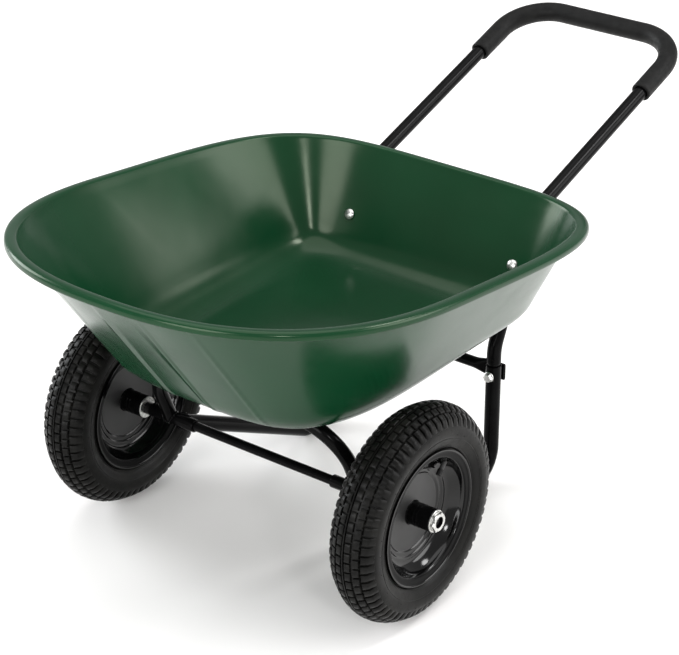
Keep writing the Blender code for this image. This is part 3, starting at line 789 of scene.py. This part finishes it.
def make_nut(name, node, location, direction):
    """Hexagon nut with the bolt's threaded end showing through it."""
    bm = bmesh.new()
    add_hex(bm, location, direction, 0.0, NUT_HEIGHT, NUT_RADIUS, 0.0041)
    add_thread(bm, location, direction, -0.002, BOLT_TAIL, BOLT_RADIUS)
    finish_piece(name, bm, "zinc", "frame", [node], 30.0)


def make_fasteners():
    crown = (CROWN_Z - TYRE_RADIUS) / math.cos(ARCH_LEAN)
    crown_y = -crown * math.sin(ARCH_LEAN)
    wall_normal = Vector((0, BACK_SLOPE, -1)).normalized()
    for side, word in SIDES:
        x = side * HANDLE_HALF
        front = LEG_Y - LEG_RADIUS - GAP
        rear = BRACE_Y + BRACE_FLAT_DEPTH + GAP
        make_hex_bolt("brace_bolt_head_" + word, "brace_bolt_" + word, place(x, front, BRACE_Z), (0, 1, 0))
        make_nut("brace_bolt_nut_" + word, "brace_nut_" + word, place(x, rear, BRACE_Z), (0, 1, 0))
        x = side * ARCH_BOLT_X
        head = place(x, crown_y, FLOOR_Z + 0.0001)
        under = place(x, crown_y, CROWN_Z - ARCH_RADIUS - GAP)
        make_domed_bolt("arch_bolt_head_" + word, "arch_bolt_" + word, head, (0, 0, -1))
        make_nut("arch_bolt_nut_" + word, "arch_nut_" + word, under, (0, 0, -1))
        wall_y = LEG_Y + (WALL_BOLT_Z - LEG_BEND_Z) / BACK_SLOPE
        centre = place(side * HANDLE_HALF, wall_y, WALL_BOLT_Z)
        head = centre - wall_normal * (HANDLE_RADIUS + SHEET + 0.0021)
        make_domed_bolt("tray_bolt_head_" + word, "tray_bolt_" + word, head, wall_normal)
        make_nut("tray_bolt_nut_" + word, "tray_nut_" + word,
                 centre + wall_normal * (HANDLE_RADIUS + GAP), wall_normal)


# Axle


def make_axle():
    bm = bmesh.new()
    chamfer = 0.0012
    add_turned(bm, [(-AXLE_HALF + chamfer * 8, AXLE_RADIUS), (AXLE_HALF - chamfer * 8, AXLE_RADIUS)],
               place(0, 0, TYRE_RADIUS), (1, 0, 0), 40)
    for side in (1, -1):
        start = place(side * (AXLE_HALF - GAP - AXLE_THREAD_LENGTH), 0, TYRE_RADIUS)
        add_thread(bm, start, (side, 0, 0), 0.0, AXLE_THREAD_LENGTH, AXLE_THREAD_RADIUS, 0.0015)
    finish_piece("axle_rod", bm, "black", "frame", ["axle"])
    for side, word in SIDES:
        make_axle_side(side, word)


def make_axle_side(side, word):
    """Collar, washers and nut that stay still at one end of the axle."""
    outward = (side, 0, 0)
    centre = place(0, 0, TYRE_RADIUS)
    bm = bmesh.new()
    low, high, edge = SLEEVE_INNER_X, SLEEVE_OUTER_X, 0.0009
    add_turned(bm, [
        (low, AXLE_BORE), (low, SLEEVE_RADIUS - edge), (low + edge * 0.3, SLEEVE_RADIUS - edge * 0.3),
        (low + edge, SLEEVE_RADIUS), (high - edge, SLEEVE_RADIUS),
        (high - edge * 0.3, SLEEVE_RADIUS - edge * 0.3), (high, SLEEVE_RADIUS - edge), (high, AXLE_BORE),
    ], centre, outward, 48, closed=True)
    finish_piece("axle_collar_" + word, bm, "black", "frame", ["axle_sleeve_" + word])
    for which in ("inner", "outer"):
        node = f"{which}_washer_{word}"
        low, high = sorted(abs(corner[0]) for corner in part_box(node))
        bm = bmesh.new()
        add_turned(bm, [
            (low, AXLE_BORE), (low, 0.0165), (low + 0.0005, 0.0170), (high - 0.0005, 0.0170),
            (high, 0.0165), (high, 0.0088), (high - 0.0002, AXLE_BORE)], centre, outward, 64, closed=True)
        finish_piece(f"{which}_plate_washer_{word}", bm, "zinc", "frame", [node], 30.0)
    low, high = sorted(abs(corner[0]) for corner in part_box("axle_nut_" + word))
    bm = bmesh.new()
    add_turned(bm, [
        (low, AXLE_BORE), (low, 0.0138), (low + 0.0004, 0.0142, 0.4), (low + 0.0009, 0.0153, 0.95),
        (low + 0.0013, 0.0155, 1.0), (high - 0.0016, 0.0155, 1.0), (high - 0.0011, 0.0152, 0.93),
        (high - 0.0004, 0.0142, 0.4), (high, 0.0132), (high, 0.0098), (high - 0.0004, 0.0088),
        (high - 0.0030, 0.0083), (high - 0.0032, AXLE_BORE)], centre, outward, 72, closed=True)
    nut = finish_piece("axle_hex_nut_" + word, bm, "zinc", "frame", ["axle_nut_" + word], 30.0)
    # The nut's zinc bore is painted black, as painted shade in the recess round the axle's end.
    paint_ring(nut, NUT_BORE_SHADE_BAND, "black")


# Wheels


def crown_radius(across):
    """Radius of the tread's top surface at a distance from the tyre's middle plane."""
    return TYRE_RADIUS - CROWN_DROP * (across / CROWN_HALF) ** 2


def groove_depth(across):
    return GROOVE_DEPTH - 0.0004 * across / LUG_FROM


def tyre_section():
    """Half section of the tyre casing: thin centre rib, groove floors, shoulder, sidewall, bead."""
    middle = []
    for across in (0.0, 0.0009, 0.0013, 0.0070, 0.0120, 0.0175, 0.0220):
        on_rib = across < 0.0010
        middle.append((across, crown_radius(across) - (0.0008 if on_rib else groove_depth(across))))
    shoulder = []
    for i, (across, radius, depth, _) in enumerate(SHOULDER):
        normal = shoulder_normal(i)
        shoulder.append((across - normal.x * depth, radius - normal.y * depth))
    side = [(0.0378, 0.1330), (0.0378, 0.1290), (0.0375, 0.1252), (0.0369, 0.1222), (0.0365, 0.1215),
            (0.0368, 0.1207), (0.0364, 0.1199), (0.0357, 0.1185), (0.0346, 0.1150), (0.0333, 0.1117),
            (0.0319, 0.1090), (0.0311, 0.1078), (0.0314, 0.1070), (0.0308, 0.1058), (0.0296, 0.1049),
            (0.0284, 0.1040), (0.0282, 0.0970), (0.0260, 0.0928)]
    inside = [(0.0205, 0.0926), (0.0222, 0.1045), (0.0322, 0.1220), (0.0322, 0.1368), (0.0243, 0.1508)]
    return middle + shoulder + side + inside


def shoulder_normal(i):
    """Outward normal of the tread surface at one of the shoulder's points."""
    before = Vector(SHOULDER[max(i - 1, 0)][:2])
    after = Vector(SHOULDER[min(i + 1, len(SHOULDER) - 1)][:2])
    run = (after - before).normalized()
    return Vector((-run.y, run.x))


def add_block(bm, centre, mirror, columns, middle, pitch, edge=0.0010):
    """One tread block from (foot, crest, gap) columns across it, wrapped on the wheel about an angle."""
    def at(point, angle):
        return centre + Vector((mirror * point.x, point.y * math.cos(angle), point.y * math.sin(angle)))

    last = len(columns) - 1
    outline = [(k, -1) for k in range(last + 1)] + [(k, 1) for k in range(last, -1, -1)]
    base, brow, top = [], [], []
    for k, end in outline:
        foot, crest, gap = columns[k]
        rise = crest - foot
        inner = columns[min(max(k, 1), last - 1)][1]
        pull = (inner - crest).normalized() * 0.0008 if k in (0, last) else Vector((0, 0))
        half = (pitch - gap / crest.y) / 2
        drop = min(0.8, edge / max(rise.length, 1e-6))
        base.append(bm.verts.new(at(foot, middle + end * half)))
        brow.append(bm.verts.new(at(crest - rise * drop, middle + end * half)))
        top.append(bm.verts.new(at(crest + pull, middle + end * (half - 0.0019 / crest.y))))
    count = len(outline)
    for lower, upper in ((base, brow), (brow, top)):
        for i in range(count):
            j = (i + 1) % count
            bm.faces.new((lower[i], lower[j], upper[j], upper[i]))
    for k in range(last):
        mate = count - 1 - k
        bm.faces.new((top[k], top[k + 1], top[mate - 1], top[mate]))
        bm.faces.new((base[k], base[mate], base[mate - 1], base[k + 1]))


def crown_columns(low, high, lift):
    """Foot point, crest point and gap for columns across one block of the crown."""
    columns = []
    for k in range(4):
        across = low + (high - low) * k / 3
        crest = crown_radius(across) + lift
        foot = crest - groove_depth(across) - 0.0008
        columns.append((Vector((across, foot)), Vector((across, crest)), TREAD_GAP))
    return columns


def lug_columns(lift):
    """Columns of a shoulder lug, which turns down over the shoulder and fades into the sidewall."""
    columns = []
    for i, (across, radius, depth, gap) in enumerate(SHOULDER):
        normal = shoulder_normal(i)
        crest = Vector((across, radius)) + normal * (lift - 0.0001)
        columns.append((crest - normal * (depth + 0.0007), crest, gap))
    return columns


def add_tread(bm, centre):
    """Two staggered rows of blocks each side of the centre rib, and lugs over each shoulder."""
    pitch = TAU / TREAD_PITCHES
    draw = random.Random(11)
    for mirror in (1, -1):
        phase = 0.0 if mirror > 0 else 0.5
        for low, high, shift in ((0.0030, 0.0114, 0.0), (0.0144, 0.0222, 0.5)):
            for i in range(TREAD_PITCHES):
                columns = crown_columns(low, high, draw.uniform(-0.0004, 0.0))
                add_block(bm, centre, mirror, columns, (i + shift + phase) * pitch, pitch)
        for i in range(TREAD_PITCHES):
            columns = lug_columns(draw.uniform(-0.0004, 0.0))
            add_block(bm, centre, mirror, columns, (i + 0.1 + phase) * pitch, pitch)


def add_pips(bm, centre):
    """Moulding pips round both sidewalls, left by the vents of the mould."""
    draw = random.Random(5)
    for mirror in (1, -1):
        for i in range(34):
            angle = TAU * (i + draw.uniform(-0.2, 0.2)) / 34
            radius = draw.choice((0.1262, 0.1340, 0.1340))
            foot = centre + Vector((mirror * 0.0372, radius * math.cos(angle), radius * math.sin(angle)))
            add_turned(bm, [(0.0, 0.0007), (0.0008, 0.0006), (0.0011, 0.0003)], foot, (mirror, 0, 0), 8)


def make_tyre(side, word):
    centre = place(side * WHEEL_X, 0, TYRE_RADIUS)
    bm = bmesh.new()
    half = tyre_section()
    profile = half + [(-across, radius) for across, radius in half[:0:-1]]
    add_turned(bm, profile, centre, (1, 0, 0), 144, closed=True)
    add_tread(bm, centre)
    add_pips(bm, centre)
    finish_piece("tyre_casing_" + word, bm, "tyre", word + "_wheel", ["tyre_" + word], 32.0)


def rim_line():
    """Centre line of one rim half: disc, pressed rings, dish, barrel, bead seat and rolled lip."""
    return [(0.00095, 0.0178), (0.00095, 0.0300), (0.00095, 0.0570), (0.00110, 0.0583), (0.00190, 0.0600),
            (0.00290, 0.0612), (0.00320, 0.0625), (0.00320, 0.0645), (0.00350, 0.0658), (0.00480, 0.0678),
            (0.00560, 0.0692), (0.00580, 0.0706), (0.00580, 0.0725), (0.00620, 0.0742), (0.00730, 0.0762),
            (0.00820, 0.0784), (0.01050, 0.0806), (0.01400, 0.0834), (0.01750, 0.0860), (0.02100, 0.0880),
            (0.02400, 0.0891), (0.02700, 0.0899), (0.02860, 0.0908), (0.02920, 0.0920), (0.02940, 0.0940),
            (0.02960, 0.0965), (0.02990, 0.0990), (0.03060, 0.1010), (0.03170, 0.1022), (0.03290, 0.1021)]


def sheet_profile(line, thickness):
    """A closed profile of even thickness about an open line of (height, radius) points."""
    sides = ([], [])
    for i, point in enumerate(line):
        run = (Vector(line[min(i + 1, len(line) - 1)]) - Vector(line[max(i - 1, 0)])).normalized()
        normal = Vector((-run.y, run.x)) * thickness / 2
        sides[0].append(tuple(Vector(point) + normal))
        sides[1].append(tuple(Vector(point) - normal))
    return sides[0] + sides[1][::-1]


def make_rim(side, word):
    centre = place(side * WHEEL_X, 0, TYRE_RADIUS)
    profile = sheet_profile(rim_line(), RIM_SHEET)
    for which, way in (("outer", side), ("inner", -side)):
        bm = bmesh.new()
        add_turned(bm, profile, centre, (way, 0, 0), 128, closed=True)
        piece = finish_piece(f"{which}_rim_shell_{word}", bm, "rim", word + "_wheel",
                             [f"rim_{which}_{word}"], 40.0)
        paint_ring(piece, DISC_BAND, "disc")
        paint_ring(piece, BEAD_BAND, "black")


def make_hub(side, word):
    """Hub barrel with a weld fillet against the discs, two rings on each side and rolled edges."""
    centre = place(side * WHEEL_X, 0, TYRE_RADIUS)
    half = [(HUB_HALF, BEARING_SEAT), (HUB_HALF, 0.0166), (HUB_HALF - 0.0004, 0.0171),
            (HUB_HALF - 0.0010, HUB_RADIUS)]
    for ring in (0.0193, 0.0134):
        half += [(ring + 0.0007, HUB_RADIUS), (ring + 0.0004, 0.0175), (ring - 0.0004, 0.0175),
                 (ring - 0.0007, HUB_RADIUS)]
    half += [(0.0036, HUB_RADIUS), (0.0026, 0.0176), (0.0020, 0.0184), (0.0018, 0.0188), (0.0018, 0.0175),
             (0.0004, HUB_RADIUS)]
    bore = [(-HUB_HALF, BEARING_SEAT), (-BEARING_SEAT_X, BEARING_SEAT), (-BEARING_SEAT_X, HUB_BORE),
            (BEARING_SEAT_X, HUB_BORE), (BEARING_SEAT_X, BEARING_SEAT)]
    profile = half + [(-height, radius) for height, radius in half[:0:-1]] + bore
    bm = bmesh.new()
    add_turned(bm, profile, centre, (1, 0, 0), 72, closed=True)
    finish_piece("hub_barrel_" + word, bm, "black", word + "_wheel", ["hub_" + word], 35.0)


def dress_cad_nodes():
    """Materials, and softened edges, for the CAD nodes that stay."""
    looks = {"bearing_inner": "steel", "bearing_outer": "steel", "inner_tube": "butyl",
             "valve_stem": "butyl", "valve_cap": "cap"}
    for _, word in SIDES:
        for stem, look in looks.items():
            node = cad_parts[f"{stem}_{word}"]
            node.data.materials.clear()
            node.data.materials.append(MATERIALS[look])
            if stem.startswith("valve"):
                edges = node.modifiers.new("edges", "BEVEL")
                edges.width = 0.0003
                edges.segments = 2
                edges.limit_method = "ANGLE"


# Studio


def area_light(name, location, target, size, energy, colour=(1, 1, 1)):
    data = bpy.data.lights.new(name, "AREA")
    data.shape = "DISK"
    data.size = size
    data.energy = energy
    data.color = colour
    lamp = bpy.data.objects.new(name, data)
    lamp.location = location
    lamp.rotation_euler = (Vector(target) - Vector(location)).to_track_quat("-Z", "Y").to_euler()
    bpy.context.scene.collection.objects.link(lamp)


def make_studio():
    bm = bmesh.new()
    bmesh.ops.create_grid(bm, x_segments=8, y_segments=8, size=14.0)
    mesh = bpy.data.meshes.new("floor")
    bm.to_mesh(mesh)
    bm.free()
    mesh.materials.append(studio_floor())
    floor = bpy.data.objects.new("floor", mesh)
    floor.location.z = -0.0005
    bpy.context.scene.collection.objects.link(floor)
    world = bpy.data.worlds.new("studio")
    world.use_nodes = True
    background = world.node_tree.nodes["Background"]
    background.inputs["Color"].default_value = (1.0, 1.0, 1.0, 1.0)
    background.inputs["Strength"].default_value = 0.54
    bpy.context.scene.world = world
    area_light("overhead", (-0.2, 0.1, 3.4), (-0.2, 0.1, 0), 4.0, 72)
    area_light("left", (-6.0, -1.2, 2.3), (0, 0, 0.1), 4.0, 320, (0.95, 0.98, 1.0))
    area_light("right", (5.2, 3.0, 2.3), (0, 0, 0.1), 4.0, 215)
    area_light("front", (0.6, -6.0, 2.4), (0, 0, 0.1), 4.0, 260)
    area_light("rear_box", (1.7, 1.6, 2.9), (0.27, -0.3, 0.1), 0.9, 34)
    area_light("near_box", (2.9, -2.3, 2.0), (0, 0, 0.3), 0.5, 20)


def make_camera():
    """The photograph's viewpoint, found by fitting a camera to the cart's own lines."""
    data = bpy.data.cameras.new("camera")
    data.sensor_width = 36.0
    data.lens = 119.07
    data.clip_end = 60.0
    camera = bpy.data.objects.new("camera", data)
    target = place(0.1428, 0.0, 0.4192)
    azimuth, elevation, distance = math.radians(37.20), math.radians(27.34), 3.1405
    away = Vector((math.sin(azimuth) * math.cos(elevation), -math.cos(azimuth) * math.cos(elevation),
                   math.sin(elevation)))
    camera.location = target + away * distance
    camera.rotation_euler = (-away).to_track_quat("-Z", "Y").to_euler()
    bpy.context.scene.collection.objects.link(camera)
    bpy.context.scene.camera = camera
    bpy.context.scene.view_settings.view_transform = "Standard"


make_tray()
make_handle()
make_grip()
make_legs()
make_arch()
make_brace()
make_fasteners()
make_axle()
for wheel_side, wheel_word in SIDES:
    make_tyre(wheel_side, wheel_word)
    make_rim(wheel_side, wheel_word)
    make_hub(wheel_side, wheel_word)
dress_cad_nodes()
make_studio()
make_camera()
